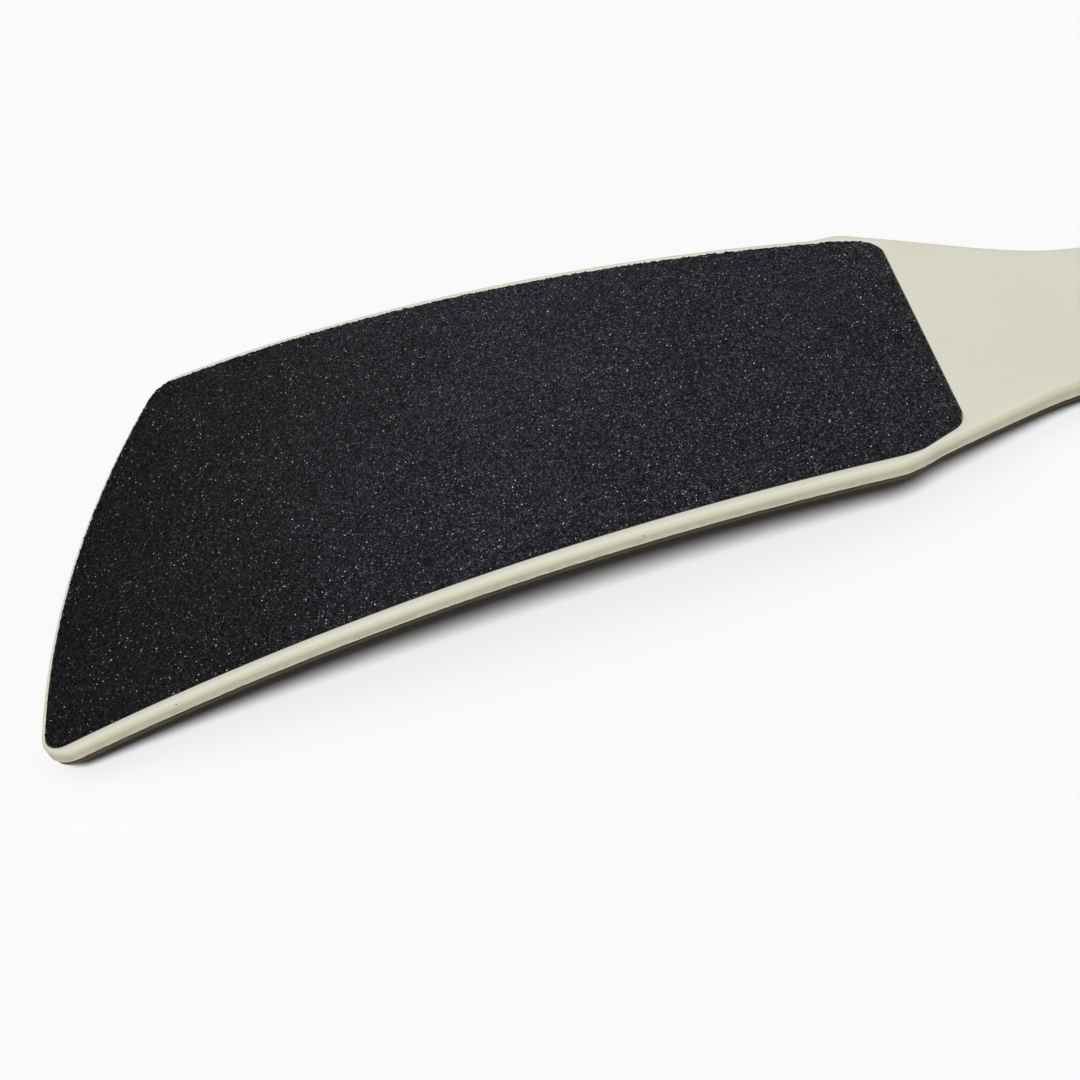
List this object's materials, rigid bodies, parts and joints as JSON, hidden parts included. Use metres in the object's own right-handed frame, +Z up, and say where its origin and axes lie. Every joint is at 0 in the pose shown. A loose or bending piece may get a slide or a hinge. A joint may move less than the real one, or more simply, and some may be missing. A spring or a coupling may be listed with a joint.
{
  "type": "foot file",
  "caption": "Curved foot file: a one-piece plastic paddle with an arched, tapering blade, abrasive sheets on both faces and a flat handle with a hanging hole.",
  "frame": {"origin": "on the table, under the middle of the whole length and width", "axes": "+X from the blade's tip to the handle, +Y across the file, +Z up, with the convex face of the blade on top"},
  "size_m": [0.245, 0.0532, 0.0079],
  "materials": {
    "plastic": "smooth moulded plastic, off-white, slight sheen",
    "adhesive": "clear yellowish pressure-sensitive film",
    "backing": "resin-filled paper backing",
    "coarse_grains": "coarse black silicon carbide grains in resin, with bright glints",
    "fine_grains": "finer black silicon carbide grains in resin"
  },
  "bodies": {
    "root": {"paddle": "plastic", "coarse_adhesive": "adhesive", "coarse_backing": "backing", "coarse_grit": "coarse_grains", "fine_adhesive": "adhesive", "fine_backing": "backing", "fine_grit": "fine_grains"}
  },
  "joints": []
}
